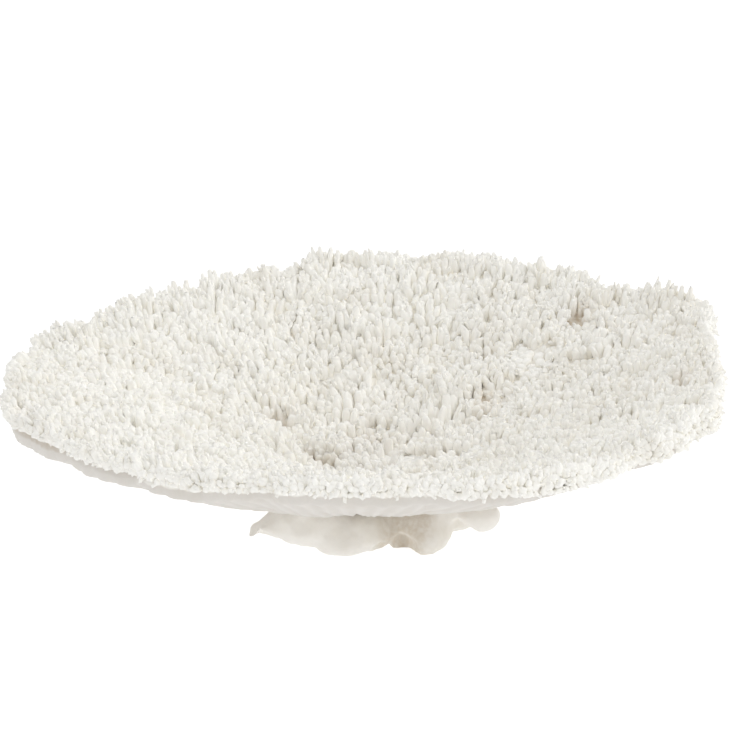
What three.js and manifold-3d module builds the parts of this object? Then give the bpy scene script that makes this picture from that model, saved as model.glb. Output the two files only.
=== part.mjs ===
// Table coral: the bleached skeleton of a plate-forming branching coral. A short lumpy holdfast,
// cut off flat underneath, forks into fans of fused branches that spread into a shallow dish.
// Thousands of short upright branchlets cover each fan. A solid here reaches from the smooth
// underside of its fan to the envelope of the branchlet tips.
//
// Millimetres, +Z up, +Y to the rear. The origin is on the flat cut, under the middle of the holdfast.

import * as THREE from 'three';
import { mergeVertices } from 'three/addons/utils/BufferGeometryUtils.js';
import Module from 'manifold-3d';

// --- Driving dimensions ----------------------------------------------------------------------

const GAP = 0.3;                 // clearance kept along every fork
const CROWN_RADIUS = 27;         // where the fans fork from the holdfast
const CROWN_TOP = 37;            // height of the holdfast's crown, at the bottom of the dish

const UNDERSIDE_START = 14;      // underside height of the fans, at the crown
const UNDERSIDE_POWER = 1.15;    // 1 is a straight cone, more is a bowl
const DEPTH_AT_CROWN = 24;       // fused plate and branchlets together, at the crown
const DEPTH_AT_RIM = 15;         // and at the rim
const RIM_NOSE = 4;              // height that the rounding takes off the rim, above and below
const NOSE_START = 0.965;        // share of the way out where the rounding starts

const SCALLOP = 8;               // how far the rim draws in at a fork
const CREST = 3.5;               // how much higher a fan is along its middle than at its forks
const FORK_SWAY = 3.5;           // degrees that a fork wanders to either side
const FORK_BENDS = 1.4;          // half turns that it makes on the way out

const ALONG = 10;                // facets along a fan
const ACROSS = 10;               // facets across a fan

// Each fan starts at heading `from` and ends where the next one starts. A heading is in degrees,
// anticlockwise from +X. `reach` is the rim's radius, `lift` is the height of its underside there,
// and `swell` is how much the tips stand above the plain dish, halfway out.
const FANS = [
  { name: 'fan_right', from: -15, reach: 203, lift: 83, swell: 0 },
  { name: 'fan_right_rear', from: 15, reach: 216, lift: 88, swell: -2 },
  { name: 'fan_rear_right', from: 38, reach: 204, lift: 84, swell: 1 },
  { name: 'fan_rear_middle', from: 57, reach: 195, lift: 85, swell: -1 },
  { name: 'fan_rear', from: 81, reach: 188, lift: 84, swell: 1 },
  { name: 'fan_rear_left', from: 102, reach: 177, lift: 80, swell: -3 },
  { name: 'fan_left_rear', from: 125, reach: 183, lift: 77, swell: 6 },
  { name: 'fan_left', from: 152, reach: 198, lift: 74, swell: 4 },
  { name: 'fan_left_front', from: 182, reach: 200, lift: 75, swell: 5 },
  { name: 'fan_front_left', from: 215, reach: 175, lift: 69, swell: 3 },
  { name: 'fan_front', from: 250, reach: 172, lift: 74, swell: 0 },
  { name: 'fan_front_right', from: 285, reach: 184, lift: 73, swell: -2 },
  { name: 'fan_right_front', from: 318, reach: 202, lift: 80, swell: 1 },
];

// The lumps that the holdfast is made of: the centre of each, and its half sizes.
const LUMPS = [
  { at: [3, -4, 13], half: [47, 46, 22] },      // trunk
  { at: [-22, -38, 13], half: [25, 18, 14] },   // bulge at the front left
  { at: [-46, -36, 10], half: [14, 12, 6] },    // ledge that overhangs at the left
  { at: [-8, -45, 6], half: [16, 14, 12] },     // three feet along the front
  { at: [6, -44, 10], half: [13, 13, 11] },
  { at: [34, -40, 8], half: [18, 17, 15] },
  { at: [67, -44, 18], half: [11, 10, 7] },     // knob at the right
  { at: [50, -24, 21], half: [25, 24, 17] },    // right flank
  { at: [-42, 0, 20], half: [22, 26, 14] },     // left flank
  { at: [-22, 28, 12], half: [24, 22, 16] },    // three feet along the rear
  { at: [4, 44, 12], half: [18, 15, 14] },
  { at: [28, 32, 12], half: [24, 22, 16] },
];
const LUMP_SEGMENTS = 12;        // facets round a lump
const LUMP_RINGS = 7;            // and from its top to its bottom

const SKELETON = { color: 0xe9e6dd, roughness: 0.9, metalness: 0 };
const HOLDFAST = { color: 0xe0dacf, roughness: 0.95, metalness: 0 };

const CLEAR_HEIGHT = 200;        // taller than anything in the coral
const FULL_TURN = 360;

// --- Closed solids ---------------------------------------------------------------------------

function merged(geometry) {
  const bare = geometry.clone();
  bare.deleteAttribute('normal');
  bare.deleteAttribute('uv');
  return mergeVertices(bare, 1e-3);
}

const wasm = await Module();
wasm.setup();

function solid(geometry) {
  const bare = merged(geometry);
  return new wasm.Manifold(new wasm.Mesh({
    numProp: 3,
    vertProperties: new Float32Array(bare.getAttribute('position').array),
    triVerts: new Uint32Array(bare.index.array),
  }));
}

function geometryOf(made) {
  const { vertProperties, triVerts } = made.getMesh();
  const geometry = new THREE.BufferGeometry();
  geometry.setAttribute('position', new THREE.BufferAttribute(vertProperties, 3));
  geometry.setIndex(new THREE.BufferAttribute(triVerts, 1));
  return geometry;
}

// --- The dish --------------------------------------------------------------------------------

const fanCount = FANS.length;
const atEnd = (share) => share > 0.999;
const nextFan = (index) => FANS[(index + 1) % fanCount];
const fanEnd = (index) => nextFan(index).from + (index === fanCount - 1 ? FULL_TURN : 0);
const fanMiddle = (index) => (FANS[index].from + fanEnd(index)) / 2;

// A dimension of the rim at any heading, blended smoothly from the middle of one fan to the next.
function aroundRim(heading, dimension) {
  const first = fanMiddle(0);
  const wrapped = THREE.MathUtils.euclideanModulo(heading - first, FULL_TURN) + first;
  let index = fanCount - 1;
  while (fanMiddle(index) > wrapped) index -= 1;
  const start = fanMiddle(index);
  const end = index === fanCount - 1 ? first + FULL_TURN : fanMiddle(index + 1);
  const share = THREE.MathUtils.smoothstep(wrapped, start, end);
  return THREE.MathUtils.lerp(FANS[index][dimension], nextFan(index)[dimension], share);
}

// The heading of the fork where a fan starts, at a share of the way out to the rim.
function forkHeading(from, out) {
  const phase = THREE.MathUtils.degToRad(from * 5);
  return from + FORK_SWAY * Math.sin(phase + FORK_BENDS * Math.PI * out);
}

const undersideHeight = (heading, out) => THREE.MathUtils.lerp(
  UNDERSIDE_START, aroundRim(heading, 'lift'), out ** UNDERSIDE_POWER);

// How far out each row of corners lies. The last row is short, and is where the rim is rounded.
const rowOut = (along) => (atEnd(along) ? 1 : (along * NOSE_START * ALONG) / (ALONG - 1));

// A corner of a fan. `along` runs from the crown to the rim, `over` from one fork to the next, and
// `up` from the underside to the tips. `grown` swells the fan, for cutting the holdfast clear of it.
function fanCorner(index, along, over, up, grown, target) {
  const fan = FANS[index];
  const out = rowOut(along);
  const side = 2 * over - 1;
  const heading = THREE.MathUtils.lerp(
    forkHeading(fan.from, out), forkHeading(fanEnd(index), out), over);
  const rim = aroundRim(heading, 'reach') - SCALLOP * side ** 4;
  const radius = THREE.MathUtils.lerp(CROWN_RADIUS + GAP, rim, out);

  const nose = atEnd(along) ? RIM_NOSE : 0;
  const hump = fan.swell * Math.sin(Math.PI * out ** 0.7);
  const crest = CREST * out * (1 - side ** 4);
  const low = undersideHeight(heading, out) + nose;
  const high = low + THREE.MathUtils.lerp(DEPTH_AT_CROWN, DEPTH_AT_RIM, out) + hump + crest - 2 * nose;
  const height = THREE.MathUtils.lerp(low - grown, grown ? CLEAR_HEIGHT : high, up);

  const away = radius - (along === 0 ? grown : 0);
  const inset = atEnd(Math.abs(side)) ? Math.sign(side) * (grown - GAP / 2) : 0;
  const angle = THREE.MathUtils.degToRad(heading) + inset / away;
  return target.set(away * Math.cos(angle), away * Math.sin(angle), height);
}

// A box with facets, each of its corners moved to the fan's own surface.
function fanGeometry(index, grown = 0) {
  const fan = new THREE.BoxGeometry(1, 1, 1, ALONG, ACROSS, 1);
  const corners = fan.getAttribute('position');
  const point = new THREE.Vector3();
  for (let i = 0; i < corners.count; i += 1) {
    const [along, over, up] = [corners.getX(i), corners.getY(i), corners.getZ(i)].map((c) => c + 0.5);
    fanCorner(index, along, over, up, grown, point);
    corners.setXYZ(i, point.x, point.y, point.z);
  }
  return merged(fan);
}

// --- The holdfast ----------------------------------------------------------------------------

function lumpGeometry({ at, half }) {
  return new THREE.SphereGeometry(1, LUMP_SEGMENTS, LUMP_RINGS)
    .rotateX(Math.PI / 2)
    .scale(...half)
    .translate(...at);
}

// The crown fills the middle of the dish, where all the fans begin.
function crownGeometry() {
  const shoulder = CROWN_TOP - 6;
  const profile = [
    new THREE.Vector2(0, UNDERSIDE_START),
    new THREE.Vector2(CROWN_RADIUS, UNDERSIDE_START),
    new THREE.Vector2(CROWN_RADIUS, shoulder),
    new THREE.Vector2(CROWN_RADIUS * 0.75, CROWN_TOP - 1.5),
    new THREE.Vector2(0, CROWN_TOP),
  ];
  return new THREE.LatheGeometry(profile, 2 * LUMP_SEGMENTS).rotateX(Math.PI / 2);
}

function holdfastGeometry() {
  const ground = new THREE.BoxGeometry(CLEAR_HEIGHT, CLEAR_HEIGHT, CLEAR_HEIGHT)
    .translate(0, 0, -CLEAR_HEIGHT / 2);
  let stump = solid(lumpGeometry(LUMPS[0]));
  for (const lump of LUMPS.slice(1)) stump = stump.add(solid(lumpGeometry(lump)));
  FANS.forEach((_, index) => {
    stump = stump.subtract(solid(fanGeometry(index, GAP)));
  });
  return geometryOf(stump.add(solid(crownGeometry())).subtract(solid(ground)));
}

// --- The coral -------------------------------------------------------------------------------

function piece(name, geometry, finish) {
  const mesh = new THREE.Mesh(geometry, new THREE.MeshStandardMaterial(finish));
  mesh.name = name;
  return mesh;
}

const coral = new THREE.Group();
coral.add(piece('holdfast', holdfastGeometry(), HOLDFAST));
FANS.forEach(({ name }, index) => coral.add(piece(name, fanGeometry(index), SKELETON)));

export default coral;
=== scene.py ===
"""Table coral: the looks of a bleached, plate-forming branching coral, built around its frame.

The frame gives one solid for each fan of the dish and one for the holdfast. A fan's solid reaches
from the smooth underside of its fused branches to the envelope of its branchlets' tips. Here each
fan becomes a thin ribbed plate with its own branchlets, and the holdfast a melted, lumpy stump with
the crown's branchlets on it. All lengths are metres.
"""

import logging
import math
from collections.abc import Callable
from dataclasses import dataclass, field
from enum import Enum
from typing import ClassVar

import bmesh
import bpy
import numpy as np
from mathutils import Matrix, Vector
from mathutils.bvhtree import BVHTree
from mathutils.kdtree import KDTree


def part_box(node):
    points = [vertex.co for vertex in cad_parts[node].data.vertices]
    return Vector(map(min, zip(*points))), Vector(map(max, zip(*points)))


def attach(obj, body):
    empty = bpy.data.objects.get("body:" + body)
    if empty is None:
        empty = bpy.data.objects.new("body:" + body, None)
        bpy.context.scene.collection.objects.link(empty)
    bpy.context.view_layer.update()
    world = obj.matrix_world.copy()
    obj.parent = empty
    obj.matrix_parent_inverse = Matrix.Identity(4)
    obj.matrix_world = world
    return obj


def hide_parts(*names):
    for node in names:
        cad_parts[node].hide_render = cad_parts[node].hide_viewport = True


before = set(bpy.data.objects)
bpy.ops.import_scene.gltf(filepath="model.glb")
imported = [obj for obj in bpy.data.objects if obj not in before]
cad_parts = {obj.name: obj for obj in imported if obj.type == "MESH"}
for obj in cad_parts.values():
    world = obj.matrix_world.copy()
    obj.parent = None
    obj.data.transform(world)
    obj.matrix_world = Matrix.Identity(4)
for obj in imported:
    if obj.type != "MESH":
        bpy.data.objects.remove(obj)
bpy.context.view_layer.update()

MM = 0.001
TAU = 2 * math.pi
UP = Vector((0, 0, 1))
LAMP_AXES = ("-Z", "Y")  # what a lamp or a camera points with, and holds upright
CLEAR = 1.0  # further from the dish than any part of it
ODD_WAY = (0.31, 0.95, 0.05)  # a direction in which no branchlet grows
BODY = "root"
GROWTH_AND_SHADE = "growth"  # 0 where a surface is older and where shade is painted on it, 1 where it is a growing tip
STAIN = "stain"  # 1 where the skeleton is stained, and where shade is painted the same way
TONE = "tone"  # a random value that each branchlet has for itself
MASKS = (GROWTH_AND_SHADE, STAIN, TONE)

log = logging.getLogger("table_coral")
Array = np.ndarray


# --- Helpers for selecting, reading and changing meshes -----------------------------------------


def deselect_all() -> None:
    """Leaves object mode's selection empty, so that an operator acts only on what is chosen next."""
    for thing in bpy.context.selected_objects:
        thing.select_set(False)


def choose(piece: bpy.types.Object, *others: bpy.types.Object) -> None:
    """Makes a piece active, and selects it with any others and nothing else.

    Args:
        piece: the object to make active.
        others: more objects to select.
    """
    deselect_all()
    for thing in (piece, *others):
        thing.select_set(True)
    bpy.context.view_layer.objects.active = piece


def select_faces(piece: bpy.types.Object, wanted: Callable[[bmesh.types.BMFace], bool]) -> None:
    """Selects faces of the piece that is being edited, and no others.

    Args:
        piece: the object in edit mode.
        wanted: says whether a face is to be selected.
    """
    mesh = bmesh.from_edit_mesh(piece.data)
    for face in mesh.faces:
        face.select_set(False)
    for face in mesh.faces:
        if wanted(face):
            face.select_set(True)
    bmesh.update_edit_mesh(piece.data)


def places_of(mesh: bpy.types.Mesh) -> Array:
    """Reads the places of a mesh's vertices.

    Args:
        mesh: the mesh to read.

    Returns:
        One row of x, y and z for each vertex.
    """
    places = np.empty(len(mesh.vertices) * 3, np.float32)
    mesh.vertices.foreach_get("co", places)
    return places.reshape(-1, 3).astype(float)


def put_places(mesh: bpy.types.Mesh, places: Array) -> None:
    """Moves a mesh's vertices to new places.

    Args:
        mesh: the mesh to change.
        places: one row for each vertex.
    """
    mesh.vertices.foreach_set("co", places.astype(np.float32).ravel())
    mesh.update()


def put_mask(mesh: bpy.types.Mesh, name: str, values: Array) -> None:
    """Gives a mesh a value at each vertex, under a name that its material reads.

    Args:
        mesh: the mesh to change.
        name: one of MASKS.
        values: one value for each vertex.
    """
    layer = mesh.attributes.get(name) or mesh.attributes.new(name, "FLOAT", "POINT")
    layer.data.foreach_set("value", values.astype(np.float32))


def apply_modifier(piece: bpy.types.Object, kind: str, **settings: object) -> None:
    """Adds a modifier to a piece and applies it.

    Args:
        piece: the object to change.
        kind: the modifier's type.
        settings: its properties by name.
    """
    choose(piece)
    modifier = piece.modifiers.new(kind.lower(), kind)
    for name, value in settings.items():
        setattr(modifier, name, value)
    bpy.ops.object.modifier_apply(modifier=modifier.name)


def smoothstep(low: float, high: float, value: Array) -> Array:
    """Returns 0 where value is under low, 1 over high, and a smooth rise between them."""
    share = np.clip((value - low) / (high - low), 0, 1)
    return share * share * (3 - 2 * share)


def unit(rows: Array) -> Array:
    """Returns rows scaled to length 1."""
    return rows / np.linalg.norm(rows, axis=-1, keepdims=True)


@dataclass(frozen=True)
class Waves:
    """Smooth random waves over a level plane, alike on every run.

    Attributes:
        seed: which waves.
        pitch: the distance from one crest to about the next.
        lattice: how many waves there are before they repeat.
    """

    seed: int
    pitch: float
    lattice: int = 64

    def at(self, x: Array, y: Array) -> Array:
        """Reads the waves at places.

        Args:
            x: how far the places are to the right.
            y: how far they are to the rear.

        Returns:
            Their heights, from -1 to 1.
        """
        knots = np.random.default_rng(self.seed).uniform(-1, 1, (self.lattice, self.lattice))
        across, along = np.asarray(x) / self.pitch, np.asarray(y) / self.pitch
        column, row = np.floor(across).astype(int), np.floor(along).astype(int)
        right = smoothstep(0, 1, across - column)
        ahead = smoothstep(0, 1, along - row)
        corners = [
            knots[(column + i) % self.lattice, (row + j) % self.lattice]
            for i in (0, 1)
            for j in (0, 1)
        ]
        near = corners[0] + (corners[2] - corners[0]) * right
        far = corners[1] + (corners[3] - corners[1]) * right
        return near + (far - near) * ahead


# --- The form of the dish, measured from the frame ---------------------------------------------


@dataclass(frozen=True)
class RimDip:
    """A stretch of the rim that draws in between two lobes, or hangs lower.

    Attributes:
        heading: where its middle is, in degrees.
        depth: how far it goes, or less than 0 where the rim swells instead.
        half: half its width, in degrees.
    """

    heading: float
    depth: float
    half: float

    def at(self, heading: Array) -> Array:
        """Returns how far the rim goes at headings in radians."""
        off = np.abs(np.mod(np.degrees(heading) - self.heading + 180, 360) - 180)
        return self.depth * (1 - smoothstep(0.1, 1.0, off / self.half))


def total(dips: tuple[RimDip, ...], heading: Array) -> Array:
    """Returns how far the rim goes at headings in radians, over several dips."""
    return np.sum([dip.at(heading) for dip in dips], axis=0)


NOTCHES = (
    RimDip(39, 5 * MM, 4.5),
    RimDip(53.5, 4 * MM, 2.5),
    RimDip(77, 3 * MM, 2.5),
    RimDip(87, 4 * MM, 3.0),
    RimDip(98, 3 * MM, 3.0),
    RimDip(116, 3 * MM, 3.0),
    RimDip(132, 3 * MM, 3.5),
    RimDip(145, 4 * MM, 3.5),
    RimDip(168, 5 * MM, 5.0),
    RimDip(205, 2 * MM, 4.0),
    RimDip(228, 3 * MM, 3.0),
    RimDip(262, 2 * MM, 4.0),
    RimDip(300, 2 * MM, 4.0),
    RimDip(333, 2 * MM, 4.0),
    RimDip(19, -7.5 * MM, 13.0),
    RimDip(343, -6.5 * MM, 12.0),
)
BARE_DROOPS = (RimDip(207, 4.5 * MM, 38.0),)  # where the rim hangs lower, with no nubs on it
GROWN_DROOPS = (RimDip(335, 3.0 * MM, 35.0),)  # and with nubs


@dataclass
class DishForm:
    """The dish as the frame has it: its rim, forks, underside and the envelope of its tips.

    A place on the dish is a heading, in radians anticlockwise from +X, and a share of the way out,
    from 0 at the crown to 1 at the rim.

    Attributes:
        fans: the frame's fans, put in the order of their headings.
        crown_radius: where the fans begin.
        heading_steps: at how many headings the dish is measured.
        share_steps: at how many shares of the way out it is measured.
        first_share: the innermost of them.
        last_share: the outermost, past which the solids' rims are rounded off.
        notches: where the rim draws in or swells.
        lobes: the rim's small lobes.
        lobe_depth: how far the rim draws in along them, on average.
        fineness: how closely the rim is found.
        fork_fineness: and a fork's heading, in degrees.
    """

    fans: list[bpy.types.Object]
    crown_radius: float
    heading_steps: int = 360
    share_steps: int = 28
    first_share: float = 0.015
    last_share: float = 0.95
    notches: tuple[RimDip, ...] = NOTCHES
    lobes: Waves = Waves(seed=27, pitch=11 * MM)
    lobe_depth: float = 1.1 * MM
    fineness: float = 0.1 * MM
    fork_fineness: float = 0.02

    def __post_init__(self) -> None:
        """Measures the fans."""
        self.fans.sort(key=self._middle)
        self._build_tree()
        self._rim = self._measure_rim()
        self._forks = self._measure_forks()
        self._underside, self._tips = self._measure_heights()
        self._rim -= self._drawn_in()

    @staticmethod
    def _middle(fan: bpy.types.Object) -> float:
        """Returns the heading of a fan's middle."""
        x, y, _ = places_of(fan.data).mean(0)
        return math.atan2(y, x)

    def _build_tree(self) -> None:
        """Gathers all the fans' faces for casting rays at."""
        corners: list[Vector] = []
        faces: list[list[int]] = []
        self._owner: list[int] = []
        for index, fan in enumerate(self.fans):
            start = len(corners)
            corners.extend(vertex.co for vertex in fan.data.vertices)
            for face in fan.data.polygons:
                faces.append([start + corner for corner in face.vertices])
                self._owner.append(index)
        self._tree = BVHTree.FromPolygons(corners, faces)

    def _probe(self, heading: float, radius: float) -> tuple[float, float, int] | None:
        """Finds the dish at one place.

        Args:
            heading: the place's heading.
            radius: how far it is from the dish's axis.

        Returns:
            The underside's height, the tips' height and the fan's index, or None off the dish.
        """
        x, y = radius * math.cos(heading), radius * math.sin(heading)
        top, _, face, _ = self._tree.ray_cast(Vector((x, y, CLEAR)), -UP)
        low = self._tree.ray_cast(Vector((x, y, -CLEAR)), UP)[0]
        if top is None or low is None:
            return None
        return low.z, top.z, self._owner[face]

    def _measure_rim(self) -> Array:
        """Finds the rim, with the solids' facets smoothed away.

        Returns:
            The rim's radius at each heading.
        """
        aside = math.radians(0.4)  # wider than the clearance along a fork

        def covered(heading: float, radius: float) -> bool:
            """Returns whether a place, or one right beside it, is on the dish."""
            return any(self._probe(heading + turn, radius) for turn in (0, aside, -aside))

        radii = []
        for step in range(self.heading_steps):
            heading = TAU * step / self.heading_steps
            inside, outside = 3 * self.crown_radius, 10 * self.crown_radius
            while outside - inside > self.fineness:
                middle = (inside + outside) / 2
                if covered(heading, middle):
                    inside = middle
                else:
                    outside = middle
            radii.append(inside)
        blur = np.array([1, 2, 3, 2, 1]) / 9
        return np.convolve(np.concatenate([radii[-2:], radii, radii[:2]]), blur, "valid")

    def _drawn_in(self) -> Array:
        """Works out how far the grown rim stays inside the solids' rim.

        Returns:
            How far, at each heading.
        """
        heading = TAU * np.arange(self.heading_steps) / self.heading_steps
        lobes = self.lobes.at(self._rim * np.cos(heading), self._rim * np.sin(heading))
        return self.lobe_depth * (1 + lobes) + total(self.notches, heading)

    def _measure_forks(self) -> Array:
        """Finds the forks between the fans.

        Returns:
            The heading where each fan starts: one row for a fan, one column for a share.
        """
        middles = [self._middle(fan) for fan in self.fans]
        rows = []
        for index in range(len(self.fans)):
            before = middles[index - 1] - (TAU if index == 0 else 0)
            row = []
            for share in np.linspace(self.first_share, self.last_share, self.share_steps):
                low, high = before, middles[index]
                while high - low > math.radians(self.fork_fineness):
                    heading = (low + high) / 2
                    found = self._probe(heading, float(self.radius(heading, share)))
                    if found and found[2] == index:
                        high = heading
                    else:
                        low = heading
                row.append((low + high) / 2)
            rows.append(row)
        return np.array(rows)

    def _measure_heights(self) -> tuple[Array, Array]:
        """Measures the dish's two sides.

        Returns:
            The underside's and the tips' heights: one row for a heading, one column for a share.
        """
        shape = (self.heading_steps, self.share_steps)
        low, high = np.full(shape, np.nan), np.full(shape, np.nan)
        shares = np.linspace(self.first_share, self.last_share, self.share_steps)
        for row in range(self.heading_steps):
            heading = TAU * row / self.heading_steps
            for column, share in enumerate(shares):
                found = self._probe(heading, float(self.radius(heading, share)))
                if found:
                    low[row, column], high[row, column] = found[:2]
        return self._filled(low), self._filled(high)

    @staticmethod
    def _filled(table: Array) -> Array:
        """Fills the places over a fork's narrow gap from beside it.

        Args:
            table: heights, one row for a heading, not a number where there are none.

        Returns:
            The same table.
        """
        rows = np.arange(len(table))
        for column in table.T:
            known = ~np.isnan(column)
            column[:] = np.interp(rows, rows[known], column[known], period=len(table))
        return table

    def _read(self, table: Array, heading: Array, share: Array) -> Array:
        """Reads a table of heights at places, blended between its entries.

        Args:
            table: one row for a heading, one column for a share.
            heading: the places' headings.
            share: their shares of the way out.

        Returns:
            One height for each place.
        """
        across = np.mod(heading, TAU) / TAU * self.heading_steps
        row = np.floor(across).astype(int) % self.heading_steps
        beside = (row + 1) % self.heading_steps
        aside = across - np.floor(across)
        span = self.last_share - self.first_share
        along = (np.asarray(share) - self.first_share) / span * (self.share_steps - 1)
        column = np.clip(np.floor(along), 0, self.share_steps - 2).astype(int)
        ahead = along - column
        near = table[row, column] * (1 - aside) + table[beside, column] * aside
        far = table[row, column + 1] * (1 - aside) + table[beside, column + 1] * aside
        return near + (far - near) * ahead

    def rim(self, heading: Array) -> Array:
        """Returns the rim's radius at headings."""
        across = np.mod(heading, TAU) / TAU * self.heading_steps
        return np.interp(across, np.arange(self.heading_steps), self._rim, period=self.heading_steps)

    def radius(self, heading: Array, share: Array) -> Array:
        """Returns how far places are from the dish's axis."""
        return self.crown_radius + share * (self.rim(heading) - self.crown_radius)

    def underside(self, heading: Array, share: Array) -> Array:
        """Returns the underside's height at places."""
        return self._read(self._underside, heading, share)

    def tips(self, heading: Array, share: Array) -> Array:
        """Returns the height of the envelope of the tips at places."""
        return self._read(self._tips, heading, share)

    def fork(self, index: int, share: Array) -> Array:
        """Reads where a fan starts.

        Args:
            index: the fan's index. The one past the last is the first again.
            share: shares of the way out.

        Returns:
            One heading for each share.
        """
        turns, row = divmod(index, len(self.fans))
        shares = np.linspace(self.first_share, self.last_share, self.share_steps)
        return np.interp(share, shares, self._forks[row]) + turns * TAU

    def locate(self, x: Array, y: Array) -> tuple[Array, Array]:
        """Turns places given by x and y into places on the dish.

        Args:
            x: how far they are to the right.
            y: how far they are to the rear.

        Returns:
            Their headings and their shares of the way out.
        """
        heading = np.mod(np.arctan2(y, x), TAU)
        share = (np.hypot(x, y) - self.crown_radius) / (self.rim(heading) - self.crown_radius)
        return heading, share

    def fan_at(self, heading: Array, share: Array) -> Array:
        """Finds the fan at each place.

        Args:
            heading: the places' headings.
            share: their shares of the way out.

        Returns:
            The fans' indices.
        """
        first = self.fork(0, share)
        turned = np.mod(heading - first, TAU)
        starts = [self.fork(index, share) - first for index in range(len(self.fans))]
        return np.sum([turned >= start for start in starts], axis=0) - 1


# --- How the coral grew -------------------------------------------------------------------------


class Change(Enum):
    """What differs in a patch of the dish."""

    TALL = "branchlets stand higher"
    LOW = "branchlets stay low"
    # besides real staining, this change paints shade over the right half, in the pit and in the furrow
    # behind the front lip
    STAIN = "the skeleton is stained"
    FUSED = "branchlets are short, thick and grown together"
    SHALLOW = "the gaps between branchlets are partly grown shut"
    BARE = "a smooth hollow where no branchlet stands"


@dataclass(frozen=True)
class Patch:
    """An oval patch of the dish where the coral grew or weathered differently.

    Attributes:
        at: its middle, in millimetres from the dish's axis.
        half: its half length and half width, in millimetres.
        turn: the heading of its length, in degrees.
        amount: how strong the change is in the middle, where 1 is full.
    """

    at: tuple[float, float]
    half: tuple[float, float]
    turn: float
    amount: float

    def mask(self, x: Array, y: Array) -> Array:
        """Measures the change at places.

        Args:
            x: how far the places are to the right.
            y: how far they are to the rear.

        Returns:
            How strong it is at each.
        """
        turn = math.radians(self.turn)
        right, ahead = x - self.at[0] * MM, y - self.at[1] * MM
        along = (right * math.cos(turn) + ahead * math.sin(turn)) / (self.half[0] * MM)
        across = (ahead * math.cos(turn) - right * math.sin(turn)) / (self.half[1] * MM)
        return self.amount * (1 - smoothstep(0.45, 1.0, np.hypot(along, across)))


PATCHES: dict[Change, tuple[Patch, ...]] = {
    Change.TALL: (
        Patch((-66, 6), (40, 22), 118, 0.4),  # the step at the pit's left
        Patch((-44, 0), (34, 11), 122, 1.0),
        Patch((42, 42), (34, 22), 45, 0.6),  # and behind it
        Patch((-10, 165), (240, 62), 0, 0.45),  # the rear of the dish
        Patch((5, -138), (120, 20), 0, 0.6),  # the crest of the front lip
        Patch((96, 161), (24, 13), -32, 1.5),  # crests along the rear rim, from right to left
        Patch((144, 142), (18, 12), -45, 1.5),
        Patch((182, 97), (24, 16), -62, 1.3),
        Patch((-18, 178), (18, 10), 0, 0.6),
        Patch((-52, 167), (18, 12), 15, 1.0),
        Patch((-98, 145), (26, 12), 33, 0.8),
        Patch((-155, 98), (18, 12), 52, 0.9),
    ),
    Change.LOW: (
        Patch((-29, 9), (36, 9), 122, 1.0),  # the foot of the step
        Patch((10, -97), (105, 15), 0, 0.6),  # the furrow behind the front lip
        Patch((-188, 38), (42, 13), 100, 1.0),  # the left end
        Patch((161, 124), (12, 8), -50, 0.4),
        Patch((129, 105), (13, 9), 60, 1.0),  # round two hollows at the right rear
        Patch((74, 52), (16, 4), 100, 0.8),
        Patch((-176, -58), (18, 7), 112, 0.8),
    ),
    Change.FUSED: (
        Patch((101, 74), (27, 11), -45, 1.0),  # the pale knot at the right rear
        Patch((26, 0), (18, 14), 0, 1.0),  # and one in the pit
    ),
    Change.SHALLOW: (
        Patch((-125, 10), (80, 80), 0, 1.0),
        Patch((5, -158), (165, 50), 0, 1.0),
        Patch((170, -75), (60, 50), 0, 0.8),
        Patch((10, 170), (230, 55), 0, 1.0),
        Patch((205, 60), (45, 70), 0, 0.6),
    ),
    Change.BARE: (
        Patch((-45, 34), (13, 8), 120, 1.0),
        Patch((-27, 7), (6, 4), 115, 1.0),
        Patch((-17, -7), (6, 4), 115, 1.0),
        Patch((9, 44), (6, 4.5), 0, 1.0),
        Patch((129, 105), (11, 6), 60, 1.0),
    ),
    Change.STAIN: (
        Patch((-178, -60), (22, 12), 112, 0.15),
        Patch((70, 30), (170, 125), 15, 0.09),  # painted shade: faintly darker over the whole right half
        Patch((22, 4), (60, 34), 0, 0.16),  # the pit: tan, partly stained and partly painted shade
        # the furrow behind the front lip: tan, partly stained and partly painted shade
        Patch((10, -90), (100, 22), 0, 0.16),
        Patch((-45, 34), (16, 12), 120, 0.3),  # the bare hollows
        Patch((-27, 7), (9, 7), 115, 0.9),
        Patch((-17, -7), (9, 7), 115, 0.8),
        Patch((9, 44), (8, 6), 0, 0.3),
        Patch((6, 26), (13, 8), 100, 0.5),
        Patch((130, 107), (14, 9), 60, 0.7),
        Patch((179, -16), (12, 9), 90, 0.45),
        Patch((-165, -88), (28, 9), 122, 0.3),
        Patch((72, 46), (18, 9), 100, 0.5),
    ),
}


def change_at(change: Change, x: Array, y: Array) -> Array:
    """Measures one kind of change at places.

    Args:
        change: the kind of change.
        x: how far the places are to the right.
        y: how far they are to the rear.

    Returns:
        How strong it is at each, from 0 to 1.
    """
    masks = [patch.mask(x, y) for patch in PATCHES[change]]
    return np.clip(np.sum(masks, axis=0), 0, 1)


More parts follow.
